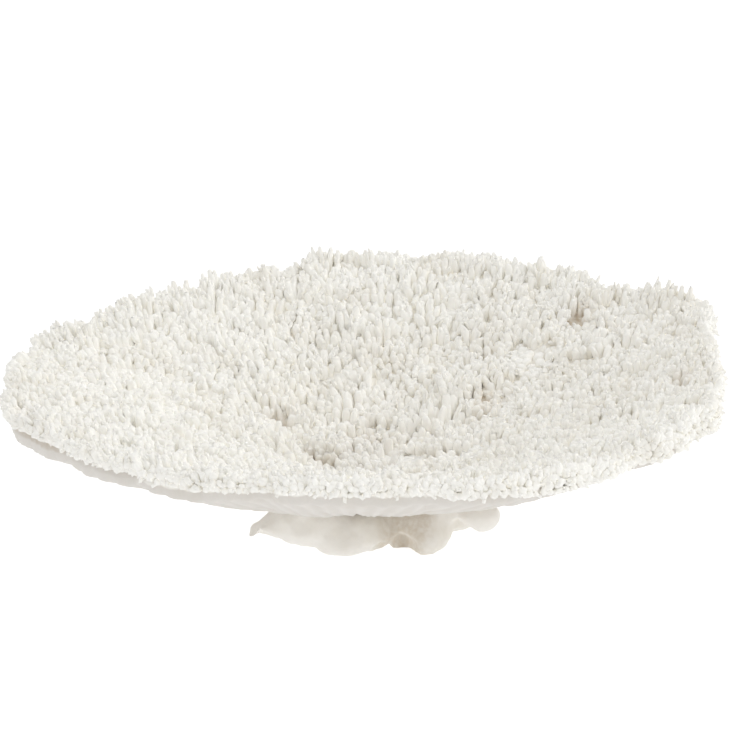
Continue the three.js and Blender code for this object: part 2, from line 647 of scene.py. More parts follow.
@dataclass(frozen=True)
class Ribs:
    """The fused branches that show as forking ribs under the dish.

    Attributes:
        first_count: how many ribs leave the crown.
        doubling: the ribs fork each time that the radius grows by this factor.
        fork_start: how far along a rib its fork begins, where 1 is at its end.
        wander: how far the ribs stray sideways, in radians of their own wave.
        bends: where they stray.
    """

    first_count: int = 26
    doubling: float = 2.0
    fork_start: float = 0.55
    wander: float = 1.1
    bends: Waves = Waves(seed=5, pitch=34 * MM)

    def at(self, heading: Array, radius: Array, start: float) -> Array:
        """Reads the ribs' relief at places.

        Args:
            heading: the places' headings.
            radius: how far they are from the dish's axis.
            start: the radius where the ribs leave the crown.

        Returns:
            The relief, 1 on a rib's back and -1 between two.
        """
        x, y = radius * np.cos(heading), radius * np.sin(heading)
        strayed = self.first_count * heading + self.wander * self.bends.at(x, y)
        level = np.log(np.maximum(radius / start, 1)) / math.log(self.doubling)
        whole = np.floor(level)
        forked = smoothstep(self.fork_start, 1.0, level - whole)
        count = 2.0**whole
        phase = math.pi * (count - 1)  # a rib's two branches leave it to either side
        single = np.cos(strayed * count + phase)
        double = np.cos(strayed * 2 * count + phase * 2 + math.pi)
        return single * (1 - forked) + double * forked


# --- Branchlets ---------------------------------------------------------------------------------


@dataclass(frozen=True)
class Twig:
    """A branchlet's mesh as plain arrays, ready to be copied many times over.

    Attributes:
        places: its vertices, standing on z = 0 and one unit tall.
        growth: 0 at each vertex near the base, 1 at the tip.
        corners: the vertex of each face corner, face after face.
        sizes: how many corners each face has.
    """

    places: Array
    growth: Array
    corners: Array
    sizes: Array


@dataclass(frozen=True)
class ShootBend:
    """One step of a side top as it grows out of a shaft and turns upwards.

    Attributes:
        out: how far it goes outwards, in base radii.
        up: how far it goes up, in heights of the shaft.
        turn: how far it turns upwards, in degrees.
        size: its thickness after the step, as a share of that before.
    """

    out: float
    up: float
    turn: float
    size: float


SHOOT_BENDS = (
    ShootBend(0.5, 0.09, 45, 0.95),
    ShootBend(0.3, 0.16, 40, 0.95),
    ShootBend(0.0, 0.12, 5, 0.5),
)


@dataclass(frozen=True)
class TwigPattern:
    """How one kind of branchlet is modelled: a stout shaft, and shorter tops that grow up beside it.

    Attributes:
        seed: which of its kind it is.
        taper: the shaft's thickness at each ring, as a share of that at its base.
        bow: how far the top leans off, in base radii.
        shoots: how high on the shaft each side top leaves it, as a share of its height.
        crown: how much the corners of its top differ in height.
        heights: how high each ring is, as a share of the branchlet's height.
        blunt: the tip's thickness, as a share of the last ring's.
        uneven: how far every corner strays in the end.
        sides: how many sides it has.
        slimness: its height over its base radius, as it is modelled.
    """

    seed: int
    taper: tuple[float, ...] = (1.0, 1.0, 0.95, 0.78)
    bow: float = 0.4
    shoots: tuple[float, ...] = ()
    crown: float = 0.05
    heights: tuple[float, ...] = (0.34, 0.6, 0.8, 0.92)
    blunt: float = 0.7
    uneven: float = 0.014
    sides: int = 6
    slimness: float = 4.6

    def model(self) -> Twig:
        """Models the branchlet.

        Returns:
            Its mesh as arrays.
        """
        rng = np.random.default_rng(self.seed)
        piece = self._shaft(rng)
        for height in self.shoots:
            self._grow_shoot(height, rng)
        bpy.ops.mesh.select_all(action="SELECT")
        bpy.ops.transform.vertex_random(offset=self.uneven, seed=self.seed)
        bpy.ops.mesh.normals_make_consistent(inside=False)
        bpy.ops.object.mode_set(mode="OBJECT")
        twig = self._as_arrays(piece.data)
        bpy.data.objects.remove(piece)
        return twig

    def _shaft(self, rng: np.random.Generator) -> bpy.types.Object:
        """Extrudes the shaft ring by ring.

        Args:
            rng: the source of how it is turned and where it leans.

        Returns:
            The shaft, still in edit mode.
        """
        deselect_all()
        radius = 1 / self.slimness
        bpy.ops.mesh.primitive_circle_add(
            vertices=self.sides, radius=radius, fill_type="NGON", rotation=(0, 0, rng.uniform(0, 1))
        )
        piece = bpy.context.object
        bpy.ops.object.transform_apply(location=True, rotation=True, scale=True)
        bpy.ops.object.mode_set(mode="EDIT")
        bpy.ops.mesh.select_all(action="SELECT")
        away = rng.uniform(0, TAU)
        lean = Vector((math.cos(away), math.sin(away), 0)) * self.bow * radius
        before, centre, done = 1.0, Vector((0, 0, 0)), 0.0
        for size, height in zip(self.taper, self.heights):
            step = lean * (height**2 - done**2) + UP * (height - done)
            bpy.ops.mesh.extrude_region_move(TRANSFORM_OT_translate={"value": step})
            centre += step
            bpy.ops.transform.resize(value=(size / before, size / before, 1), center_override=centre)
            before, done = size, height
        tip = UP * (1 - done)
        bpy.ops.mesh.extrude_region_move(TRANSFORM_OT_translate={"value": tip})
        bpy.ops.transform.resize(value=(self.blunt, self.blunt, 1), center_override=centre + tip)
        bpy.ops.transform.vertex_random(offset=self.crown, seed=self.seed)
        return piece

    def _grow_shoot(self, height: float, rng: np.random.Generator) -> None:
        """Grows a shorter top out of the shaft's side, and turns it upwards.

        Args:
            height: how high up it leaves the shaft.
            rng: the source of its heading.
        """
        bpy.ops.mesh.select_all(action="SELECT")
        bpy.ops.transform.rotate(value=rng.uniform(0, TAU), orient_axis="Z", center_override=(0, 0, 0))
        mesh = bmesh.from_edit_mesh(bpy.context.object.data)

        def facing(face: bmesh.types.BMFace) -> float:
            """Returns how well a face points to the side at the shoot's height."""
            off_height = abs(face.calc_center_median().z - height)
            return face.normal.x - 4 * off_height

        chosen = max(mesh.faces, key=facing)
        number, centre = chosen.index, chosen.calc_center_median().copy()
        select_faces(bpy.context.object, lambda face: face.index == number)
        radius = 1 / self.slimness
        for bend in SHOOT_BENDS:
            step = Vector((bend.out * radius, 0, bend.up))
            bpy.ops.mesh.extrude_region_move(TRANSFORM_OT_translate={"value": step})
            centre += step
            bpy.ops.transform.rotate(
                value=math.radians(bend.turn), orient_axis="Y", center_override=centre
            )
            bpy.ops.transform.resize(value=(bend.size,) * 3, center_override=centre)

    @staticmethod
    def _as_arrays(mesh: bpy.types.Mesh) -> Twig:
        """Reads a finished branchlet's mesh.

        Args:
            mesh: the mesh.

        Returns:
            The same branchlet as arrays.
        """
        places = places_of(mesh)
        corners = np.empty(len(mesh.loops), np.int32)
        mesh.loops.foreach_get("vertex_index", corners)
        sizes = np.empty(len(mesh.polygons), np.int32)
        mesh.polygons.foreach_get("loop_total", sizes)
        growth = 0.3 + 0.7 * np.clip(places[:, 2], 0, 1)
        return Twig(places, np.clip(growth, 0, 1), corners, sizes)


@dataclass
class Thicket:
    """Many branchlets, each given by where it stands, which way it grows and how large it is.

    Attributes:
        roots: where each one stands.
        axes: which way each one grows.
        lengths: how long each one is.
        radii: how thick each one is at its base.
        stains_and_shade: how stained each one is, with painted shade added in the same way.
        flatness: the range of how flattened they are, where 1 is round.
        stain_at_base: how much of the stain shows at the base. At the tip it is 1 less.
    """

    roots: Array
    axes: Array
    lengths: Array
    radii: Array
    stains_and_shade: Array
    flatness: ClassVar[tuple[float, float]] = (0.82, 1.22)
    stain_at_base: ClassVar[float] = 1.15

    @staticmethod
    def together(*parts: "Thicket") -> "Thicket":
        """Returns several thickets as one."""
        names = ("roots", "axes", "lengths", "radii", "stains_and_shade")
        return Thicket(*(np.concatenate([getattr(part, name) for part in parts]) for name in names))

    def only(self, kept: Array) -> "Thicket":
        """Picks some of the branchlets.

        Args:
            kept: for each one, whether it is picked.

        Returns:
            Those that are.
        """
        return Thicket(
            self.roots[kept], self.axes[kept], self.lengths[kept], self.radii[kept], self.stains_and_shade[kept]
        )

    def mesh(self, name: str, twigs: list[Twig], seed: int) -> bpy.types.Mesh:
        """Copies the branchlets' meshes into place, as one mesh.

        Args:
            name: the mesh's name.
            twigs: the kinds of branchlet to choose from.
            seed: which random choices are made.

        Returns:
            The mesh, with its masks.
        """
        rng = np.random.default_rng(seed)
        count = len(self.roots)
        kinds = rng.integers(len(twigs), size=count)
        spins = rng.uniform(0, TAU, count)
        flat = rng.uniform(*self.flatness, count)
        tones = rng.uniform(0, 1, count)
        aside = unit(np.cross(self.axes, ODD_WAY))
        ahead = np.cross(self.axes, aside)
        places, growth, stain, tone, corners, sizes = ([] for _ in range(6))
        start = 0
        for kind, twig in enumerate(twigs):
            for index in np.flatnonzero(kinds == kind):
                turn = complex(math.cos(spins[index]), math.sin(spins[index]))
                turned = (twig.places[:, 0] + 1j * twig.places[:, 1]) * turn
                wide = self.radii[index] * TwigPattern.slimness
                local = self.roots[index] + (
                    turned.real[:, None] * aside[index] * wide * flat[index]
                    + turned.imag[:, None] * ahead[index] * wide / flat[index]
                    + twig.places[:, 2:] * self.axes[index] * self.lengths[index]
                )
                places.append(local)
                growth.append(twig.growth)
                stain.append(self.stains_and_shade[index] * (self.stain_at_base - twig.growth))
                tone.append(np.full(len(local), tones[index]))
                corners.append(twig.corners + start)
                sizes.append(twig.sizes)
                start += len(local)
        mesh = mesh_from_arrays(name, *(np.concatenate(rows) for rows in (places, corners, sizes)))
        for mask, values in zip(MASKS, (growth, stain, tone)):
            put_mask(mesh, mask, np.concatenate(values))
        return mesh


def mesh_from_arrays(name: str, places: Array, corners: Array, sizes: Array) -> bpy.types.Mesh:
    """Makes a mesh from arrays.

    Args:
        name: its name.
        places: its vertices.
        corners: the vertex of each face corner, face after face.
        sizes: how many corners each face has.

    Returns:
        The mesh, shaded smooth.
    """
    mesh = bpy.data.meshes.new(name)
    mesh.vertices.add(len(places))
    mesh.vertices.foreach_set("co", places.astype(np.float32).ravel())
    mesh.loops.add(len(corners))
    mesh.loops.foreach_set("vertex_index", corners.astype(np.int32))
    mesh.polygons.add(len(sizes))
    starts = np.cumsum(sizes) - sizes
    mesh.polygons.foreach_set("loop_start", starts.astype(np.int32))
    mesh.update(calc_edges=True)
    mesh.validate()
    mesh.polygons.foreach_set("use_smooth", np.ones(len(sizes), bool))
    return mesh


def scatter(half: float, spacing: Callable[[float, float], float], seed: int) -> Array:
    """Scatters points over a square so that no two are closer than their spacing.

    Args:
        half: half of the square's side.
        spacing: the least distance between neighbours, by place.
        seed: which random points.

    Returns:
        One row of x and y for each point.
    """
    rng = np.random.default_rng(seed)
    cell = 4 * MM
    kept: dict[tuple[int, int], list[tuple[float, float]]] = {}
    crowd, patch = 14, 5 * MM  # so many points are tried on each small square
    tries = int(crowd * (2 * half / patch) ** 2)
    for x, y in rng.uniform(-half, half, (tries, 2)).tolist():
        gap = spacing(x, y)
        column, row = int(x // cell), int(y // cell)
        near = (
            point
            for i in (-2, -1, 0, 1, 2)
            for j in (-2, -1, 0, 1, 2)
            for point in kept.get((column + i, row + j), ())
        )
        if all((x - px) ** 2 + (y - py) ** 2 >= gap * gap for px, py in near):
            kept.setdefault((column, row), []).append((x, y))
    return np.array([point for points in kept.values() for point in points])


@dataclass
class Clumps:
    """Groups of neighbouring branchlets that grew together.

    Attributes:
        spacing: the least distance between two clumps' middles.
        lift: how much a clump's height may differ from the dish's, either way.
        lean: how far a clump may lean as a whole, in parts of its height.
        seed: which random clumps.
    """

    spacing: float = 9.5 * MM
    lift: float = 2.4 * MM
    lean: float = 0.13
    seed: int = 41

    def sort_out(self, points: Array) -> tuple[Array, Array, Array]:
        """Finds each branchlet's clump.

        Args:
            points: where the branchlets stand, one row of x and y each.

        Returns:
            The clump's middle, its lift and its lean, one row or value for each branchlet.
        """
        rng = np.random.default_rng(self.seed)
        middles = scatter(float(np.abs(points).max()), lambda x, y: self.spacing, self.seed)
        lifts = rng.uniform(-self.lift, self.lift, len(middles))
        leans = rng.uniform(-self.lean, self.lean, (len(middles), 2))
        tree = KDTree(len(middles))
        for index, (x, y) in enumerate(middles.tolist()):
            tree.insert((x, y, 0), index)
        tree.balance()
        own = np.array([tree.find((x, y, 0))[1] for x, y in points.tolist()])
        return middles[own], lifts[own], leans[own]


@dataclass(frozen=True)
class RimRow:
    """A row of nubs along the rim.

    Attributes:
        level: how high on the plate's edge they stand, 0 at the underside and 1 at the top.
        inset: how far inside the dish's rim their bases are.
        rise: how steeply they point up, in degrees.
        length: how long they are.
        radius: how thick they are.
        spacing: how far apart they stand.
        scatter: how far they stray inwards or outwards.
        middle: the heading of the row's middle, in degrees.
        half: how far it runs to either side, in degrees.
    """

    level: float
    inset: float
    rise: float
    length: float
    radius: float
    spacing: float = 3.3 * MM
    scatter: float = 1.0 * MM
    middle: float = 0.0
    half: float = 180.0

    def covers(self, heading: Array) -> Array:
        """Returns whether the row runs past headings in radians."""
        off = np.mod(np.degrees(heading) - self.middle + 180, 360) - 180
        return np.abs(off) <= self.half


RIM_ROWS = (
    RimRow(0.65, 4.3 * MM, 28, 4.5 * MM, 1.75 * MM, spacing=3.9 * MM),
    RimRow(0.85, 4.8 * MM, 44, 5.7 * MM, 1.95 * MM),
    RimRow(1.0, 6.3 * MM, 58, 7.0 * MM, 2.1 * MM),
    RimRow(0.45, 3.0 * MM, 34, 5.2 * MM, 1.9 * MM, spacing=3.6 * MM, middle=338, half=52),
    RimRow(0.2, 3.0 * MM, 22, 4.3 * MM, 1.8 * MM, spacing=3.8 * MM, middle=342, half=44),
)


def in_pit(share: Array) -> Array:
    """Returns how far down in the dish's pit places are, from 0 to 1."""
    return 1 - smoothstep(0.05, 0.3, share)


@dataclass
class Growth:
    """Plants the branchlets over the whole dish.

    Attributes:
        form: the dish's measured form.
        clumps: how neighbouring branchlets group.
        seed: which random places, heights and leans.
        spacing: the least distance between two branchlets.
        crowding: how much less that is near the rim, as a share of it.
        pull: how far a branchlet stands nearer to its clump's middle, as a share of the way.
        last_share: how far out the upright branchlets stand.
        radius: a branchlet's usual radius at its base.
        sunk: how deep its base sits in the plate.
        unlike: how much branchlets' heights differ at random.
        wave_height: how much they differ in broad waves.
        height_waves: where those waves are.
        step: how much taller or lower branchlets are in a patch of change.
        shortest: how short a branchlet can be.
        tallest: how tall one can be.
        splay: how far branchlets lean outwards, as rise over run, halfway out and at the rim.
        tilt: how far they all lean to the right.
        stray: how far each leans on its own.
        plate_share: the plate's share of the solid's depth, at the crown and near the rim.
        rim_share: and at the rim itself.
        rim_upturn: how far the plate's rim turns up off the solid's underside.
        rim_waves: how uneven that is.
        bare_droops: where the rim hangs lower, with no nubs on it.
        grown_droops: and with nubs.
        depth_change: how much the plate's share varies in broad waves.
        depth_waves: where those waves are.
        hollow: how much of its share the plate loses in a bare hollow.
        shut: how much it gains where the gaps are grown shut.
        crown_fill: how far the crown's branchlets stand out of the stump.
        rim_rows: the rows of nubs along the rim.
    """

    form: DishForm
    clumps: Clumps = field(default_factory=Clumps)
    seed: int = 11
    spacing: float = 3.35 * MM
    crowding: float = 0.13
    pull: float = 0.24
    last_share: float = 0.965
    radius: float = 2.3 * MM
    sunk: float = 2.5 * MM
    unlike: float = 0.7 * MM
    wave_height: float = 1.8 * MM
    height_waves: Waves = Waves(23, 26 * MM)
    step: float = 5 * MM
    shortest: float = 2.5 * MM
    tallest: float = 16 * MM
    splay: tuple[float, float] = (0.16, 0.3)
    tilt: float = -0.09
    stray: float = 0.08
    plate_share: tuple[float, float] = (0.66, 0.6)
    rim_share: float = 0.46
    rim_upturn: float = 2.0 * MM
    rim_waves: Waves = Waves(25, 13 * MM)
    bare_droops: tuple[RimDip, ...] = BARE_DROOPS
    grown_droops: tuple[RimDip, ...] = GROWN_DROOPS
    depth_change: float = 0.07
    depth_waves: Waves = Waves(29, 40 * MM)
    hollow: float = 0.2
    shut: float = 0.2
    crown_fill: float = 8 * MM
    rim_rows: tuple[RimRow, ...] = RIM_ROWS

    def bare_droop(self, heading: Array) -> Array:
        """Returns how far the rim hangs down with no nubs on it, at headings."""
        return total(self.bare_droops, heading)

    def plate_bottom(self, heading: Array, share: Array, drooping: bool = True) -> Array:
        """Works out the plate's underside.

        Args:
            heading: the places' headings.
            share: their shares of the way out.
            drooping: whether the rim hangs lower where it droops with no nubs on it.

        Returns:
            The underside's height at each place.
        """
        radius = self.form.radius(heading, share)
        wavy = 1 + 0.3 * self.rim_waves.at(radius * np.cos(heading), radius * np.sin(heading))
        upturn = self.rim_upturn * wavy - total(self.grown_droops, heading)
        if drooping:
            upturn = upturn - self.bare_droop(heading)
        return self.form.underside(heading, share) + upturn * smoothstep(0.75, 0.99, share)

    def plate_top(self, heading: Array, share: Array) -> Array:
        """Works out the plate's upper side.

        Args:
            heading: the places' headings.
            share: their shares of the way out.

        Returns:
            The upper side's height at each place.
        """
        low, high = self.form.underside(heading, share), self.form.tips(heading, share)
        inner, outer = self.plate_share
        radius = self.form.radius(heading, share)
        x, y = radius * np.cos(heading), radius * np.sin(heading)
        part = inner + (outer - inner) * np.clip(share, 0, 1)
        part = part + self.depth_change * self.depth_waves.at(x, y)
        part = part - self.hollow * change_at(Change.BARE, x, y)
        part = part + (self.rim_share - part) * smoothstep(0.78, 1.0, share)
        part = part + self.shut * change_at(Change.SHALLOW, x, y)
        return low + (high - low) * part

    def _spacing_at(self, x: float, y: float) -> float:
        """Returns the least distance between branchlets at a place. It is less near the rim."""
        out = math.hypot(x, y) / float(self.form.rim(math.atan2(y, x)))
        return self.spacing * (1 - self.crowding * float(smoothstep(0.78, 0.95, out)))

    def plant(self) -> tuple[Thicket, Array]:
        """Plants the upright branchlets.

        Returns:
            The branchlets, and the index of the fan that each stands on, or -1 on the crown.
        """
        points = scatter(1.1 * float(self.form.rim(0.0)), self._spacing_at, self.seed)
        middles, lifts, leans = self.clumps.sort_out(points)
        x, y = (points + self.pull * (middles - points)).T
        heading, share = self.form.locate(x, y)
        kept = (share < self.last_share) & (change_at(Change.BARE, x, y) < 0.5)
        x, y, heading, share = x[kept], y[kept], heading[kept], share[kept]
        lifts, leans = lifts[kept], leans[kept]
        spread = (points - middles)[kept] / self.clumps.spacing
        rng = np.random.default_rng(self.seed + 1)
        fused = change_at(Change.FUSED, x, y) > 0.4
        base, height = self._heights(x, y, heading, share, fused, lifts, rng)
        axes = self._axes(heading, share, leans + 0.3 * spread, rng)
        roots = np.stack([x, y, base - self.sunk], 1)
        lengths = (height + self.sunk) / axes[:, 2]
        stout = 1 + 0.4 * fused + 0.15 * in_pit(share) - 0.18 * smoothstep(0.78, 0.95, share)
        radii = self.radius * rng.uniform(0.82, 1.18, len(x)) * stout
        fan = np.where(share > 0, self.form.fan_at(heading, np.clip(share, 0, 1)), -1)
        return Thicket(roots, axes, lengths, radii, change_at(Change.STAIN, x, y)), fan

    def _heights(
        self,
        x: Array,
        y: Array,
        heading: Array,
        share: Array,
        fused: Array,
        lifts: Array,
        rng: np.random.Generator,
    ) -> tuple[Array, Array]:
        """Works out how high upright branchlets begin and how tall they are.

        Args:
            x: how far they are to the right.
            y: how far they are to the rear.
            heading: their headings.
            share: their shares of the way out.
            fused: whether each is grown together with its neighbours.
            lifts: how much their clumps differ in height.
            rng: the source of how much each differs on its own.

        Returns:
            The heights where they leave the plate, and how far they stand out of it.
        """
        outer = np.clip(share, 0.02, 1)
        crown_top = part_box("holdfast")[1].z
        on_crown = 1 - smoothstep(0.0, 0.12, share)
        over_crown = crown_top + 1 * MM
        base = self.plate_top(heading, outer) * (1 - on_crown) + (crown_top - self.crown_fill) * on_crown
        tips = self.form.tips(heading, outer) * (1 - on_crown) + over_crown * on_crown
        height = tips - base - 0.5 * MM + self.wave_height * self.height_waves.at(x, y) + lifts
        alike = 0.5 * smoothstep(0.8, 0.95, share)
        height = height + rng.normal(0, self.unlike, len(x)) * (1 - alike)
        taller = self.step * change_at(Change.TALL, x, y)
        lower = self.step * change_at(Change.LOW, x, y)
        height = height + taller - lower
        height = np.where(fused, (tips - base) * 0.5, height)
        shorter = 0.2 * smoothstep(0.88, 1.0, share)
        return base, np.clip(height, self.shortest, self.tallest) * (1 - shorter)

    def _axes(self, heading: Array, share: Array, leans: Array, rng: np.random.Generator) -> Array:
        """Works out which way upright branchlets grow.

        Args:
            heading: their headings.
            share: their shares of the way out.
            leans: how far their clumps lean them, one row of x and y each.
            rng: the source of how far each strays on its own.

        Returns:
            One row of length 1 for each.
        """
        lean = self.splay[0] + (self.splay[1] - self.splay[0]) * smoothstep(0.5, 1.0, share)
        lean = lean * smoothstep(-0.2, 0.35, share)
        unruly = 1 + 1.5 * in_pit(share)
        stray = rng.normal(0, self.stray, (len(share), 2)) * unruly[:, None] + leans
        right = np.cos(heading) * lean + stray[:, 0] + self.tilt
        ahead = np.sin(heading) * lean + stray[:, 1]
        return unit(np.stack([right, ahead, np.ones(len(share))], 1))

    def plant_rim(self) -> tuple[Thicket, Array]:
        """Plants the short nubs that crowd the rim and point outwards.

        Returns:
            The nubs, and the index of the fan that each stands on.
        """
        rng = np.random.default_rng(self.seed + 2)
        rows = [self._plant_row(row, rng) for row in self.rim_rows]
        fans = [fan for _, fan in rows]
        return Thicket.together(*(nubs for nubs, _ in rows)), np.concatenate(fans)

    def _plant_row(self, row: RimRow, rng: np.random.Generator) -> tuple[Thicket, Array]:
        """Plants one row of nubs.

        Args:
            row: the row.
            rng: the source of how the nubs differ.

        Returns:
            The nubs, and the index of the fan that each stands on.
        """
        form = self.form
        count = int(TAU * float(form.rim(0.0)) / row.spacing)
        heading = (np.arange(count) + rng.uniform(-0.4, 0.4, count)) * TAU / count
        inset = row.inset + rng.uniform(-1, 1, count) * row.scatter
        radius = form.rim(heading) - inset
        share = (radius - form.crown_radius) / (form.rim(heading) - form.crown_radius)
        low, top = self.plate_bottom(heading, share, drooping=False), self.plate_top(heading, share)
        z = np.minimum(low + (top - low) * row.level + 0.8 * self.bare_droop(heading), top)
        roots = np.stack([radius * np.cos(heading), radius * np.sin(heading), z], 1)
        up = np.radians(row.rise + rng.normal(0, 9, count))
        aim = heading + np.radians(rng.normal(0, 14, count))
        axes = np.stack([np.cos(aim) * np.cos(up), np.sin(aim) * np.cos(up), np.sin(up)], 1)
        lengths = row.length * rng.uniform(0.7, 1.15, count)
        radii = row.radius * rng.uniform(0.8, 1.15, count)
        fan = form.fan_at(np.mod(heading, TAU), np.full(count, form.last_share))
        kept = row.covers(heading)
        stains_and_shade = 0.5 * change_at(Change.STAIN, roots[:, 0], roots[:, 1])
        return Thicket(roots, axes, lengths, radii, stains_and_shade).only(kept), fan[kept]


# --- The pieces -----------------------------------------------------------------------------------


def bring_in(mesh: bpy.types.Mesh) -> bpy.types.Object:
    """Puts a mesh in the scene.

    Args:
        mesh: the mesh.

    Returns:
        Its object.
    """
    piece = bpy.data.objects.new(mesh.name, mesh)
    bpy.context.scene.collection.objects.link(piece)
    return piece


def dress(
    piece: bpy.types.Object, branchlets: bpy.types.Mesh, name: str, look: bpy.types.Material
) -> None:
    """Joins branchlets to a piece, names it and gives it its finish.

    Args:
        piece: the plate or stump that they stand on.
        branchlets: their mesh.
        name: the finished piece's name.
        look: its material.
    """
    choose(piece, bring_in(branchlets))
    bpy.ops.object.join()
    piece.name = piece.data.name = name
    piece.data.materials.clear()
    piece.data.materials.append(look)


def turn_faces_out(piece: bpy.types.Object) -> None:
    """Turns all of a piece's faces outwards.

    Args:
        piece: the piece, a closed mesh.
    """
    choose(piece)
    bpy.ops.object.mode_set(mode="EDIT")
    bpy.ops.mesh.select_all(action="SELECT")
    bpy.ops.mesh.normals_make_consistent(inside=False)
    bpy.ops.object.mode_set(mode="OBJECT")


@dataclass
class FanPiece:
    """One fan of the dish: a thin ribbed plate and the branchlets that stand on it.

    Attributes:
        index: its place in the form's order.
        form: the dish's measured form.
        growth: how the branchlets grow.
        ribs: the relief of its underside.
        rows: how many faces it has from the crown to the rim.
        rim_crowding: how much narrower those are at the rim. 1 is not at all.
        pitch: how wide its faces are near the rim.
        overlap: how far it reaches over each of its forks.
        last_share: how far out it reaches.
        nose: how far inwards its rim is rounded.
        rim_edge: how thick the very edge is, as a share of the plate.
        rib_height: how high the ribs stand.
        rib_fade: how much lower they are near the rim, as a share of that.
        rim_bulge: how far they push the rim outwards.
        swells: the underside's broad and small swellings.
        swell_heights: how high those are.
        sharp: edges between faces that meet at more than this angle, in degrees, stay sharp.
        first_seed: where the random draws of the first fan's branchlets start.
    """

    index: int
    form: DishForm
    growth: Growth
    ribs: Ribs
    rows: int = 70
    rim_crowding: float = 1.25
    pitch: float = 2.2 * MM
    overlap: float = 0.25 * MM
    last_share: float = 0.975
    nose: float = 2.5 * MM
    rim_edge: float = 0.12
    rib_height: float = 1.1 * MM
    rib_fade: float = 0.75
    rim_bulge: float = 0.9 * MM
    swells: tuple[Waves, Waves] = (Waves(31, 30 * MM), Waves(32, 9 * MM))
    swell_heights: tuple[float, float] = (1.3 * MM, 0.5 * MM)
    sharp: float = 50.0
    first_seed: int = 100

    @property
    def node(self) -> str:
        """The frame's node that this piece stands for."""
        return self.form.fans[self.index].name

    def build(self, thicket: Thicket, twigs: list[Twig], look: bpy.types.Material) -> bpy.types.Object:
        """Builds the fan and puts it in the frame.

        Args:
            thicket: the branchlets that stand on it.
            twigs: the kinds of branchlet.
            look: its finish.

        Returns:
            The finished piece.
        """
        piece = self._plate()
        branchlets = thicket.mesh("branchlets", twigs, self.first_seed + self.index)
        dress(piece, branchlets, self.node.replace("fan_", "fan_of_branchlets_"), look)
        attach(piece, BODY)
        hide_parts(self.node)
        return piece

    def _plate(self) -> bpy.types.Object:
        """Models the fan's plate of fused branches.

        Returns:
            The plate, a closed mesh.
        """
        near_rim = 0.9
        start, end = self.form.fork(self.index, near_rim), self.form.fork(self.index + 1, near_rim)
        width = float(self.form.rim((start + end) / 2) * (end - start))
        deselect_all()
        bpy.ops.mesh.primitive_grid_add(
            x_subdivisions=int(width / self.pitch), y_subdivisions=self.rows, size=1
        )
        piece = bpy.context.object
        bpy.ops.object.mode_set(mode="EDIT")
        bpy.ops.mesh.select_all(action="SELECT")
        bpy.ops.mesh.extrude_region_move(TRANSFORM_OT_translate={"value": (0, 0, 1)})
        bpy.ops.object.mode_set(mode="OBJECT")
        turn_faces_out(piece)
        flat = places_of(piece.data)
        over, along, upper = flat[:, 0] + 0.5, flat[:, 1] + 0.5, flat[:, 2] > 0.5
        put_places(piece.data, self._laid(over, along, upper))
        self._mask(piece.data, along, upper)
        turn_faces_out(piece)
        bpy.ops.object.shade_smooth_by_angle(angle=math.radians(self.sharp))
        return piece

    def _laid(self, over: Array, along: Array, upper: Array) -> Array:
        """Lays the corners of a flat grid on the dish.

        Args:
            over: from 0 to 1, from one fork to the next.
            along: from 0 to 1, from the crown to the rim.
            upper: whether the corner is on the upper side.

        Returns:
            Where they go, one row for each.
        """
        share = (1 - (1 - along) ** self.rim_crowding) * self.last_share
        start, end = self.form.fork(self.index, share), self.form.fork(self.index + 1, share)
        heading = start + (end - start) * over
        radius = self.form.radius(heading, share)
        at_fork = np.abs(over - 0.5) > 0.499
        heading = heading + np.sign(over - 0.5) * at_fork * self.overlap / radius
        ribs = self.ribs.at(heading, radius, self.form.crown_radius)
        x, y = radius * np.cos(heading), radius * np.sin(heading)
        (broad, small), (high_broad, high_small) = self.swells, self.swell_heights
        swell = high_broad * broad.at(x, y) + high_small * small.at(x, y)
        relief = self.rib_height * ribs * (1 - self.rib_fade * smoothstep(0.5, 0.8, share))
        low = self.growth.plate_bottom(heading, share)
        low = low - relief * smoothstep(0.02, 0.2, share) + swell * smoothstep(0.0, 0.2, share)
        high = self.growth.plate_top(heading, share)
        near_rim = np.clip((self.form.radius(heading, self.last_share) - radius) / self.nose, 0, 1)
        roundness = np.sqrt(1 - (1 - near_rim) ** 2)
        edge = self.rim_edge + (1 - self.rim_edge) * roundness
        centre, half = (low + high) / 2, (high - low) / 2 * edge
        z = centre + np.where(upper, half, -half)
        radius = radius + (self.rim_bulge * ribs + swell) * smoothstep(0.8, 1.0, share)
        return np.stack([radius * np.cos(heading), radius * np.sin(heading), z], 1)

    def _mask(self, mesh: bpy.types.Mesh, along: Array, upper: Array) -> None:
        """Gives the plate its masks: it is darker below, partly as older skeleton and partly as painted
        shade, with painted shade between the ribs and on the upper edge of a rim that no nubs cover.

        Args:
            mesh: the plate.
            along: from 0 to 1 for each corner, from the crown to the rim.
            upper: whether the corner is on the upper side.
        """
        x, y, _ = places_of(mesh).T
        heading = np.mod(np.arctan2(y, x), TAU)
        ribs = self.ribs.at(heading, np.hypot(x, y), self.form.crown_radius)
        edge = smoothstep(0.9, 1.0, along)
        # the underside takes the darker colour, partly older skeleton and partly painted shade; painted
        # shade darkens the valleys between the ribs most
        under = 0.05 * (1 + ribs) * (1 - edge) + 0.1 * edge
        # painted shade: the upper edge of a bare drooping rim takes the darker colour
        bare = smoothstep(0.8 * MM, 2.6 * MM, self.growth.bare_droop(heading))
        over = 0.3 - 0.25 * bare * smoothstep(0.93, 0.98, along)
        put_mask(mesh, GROWTH_AND_SHADE, np.where(upper, over, under))
        put_mask(mesh, STAIN, change_at(Change.STAIN, x, y) * upper)
        put_mask(mesh, TONE, np.full(len(x), 0.5))


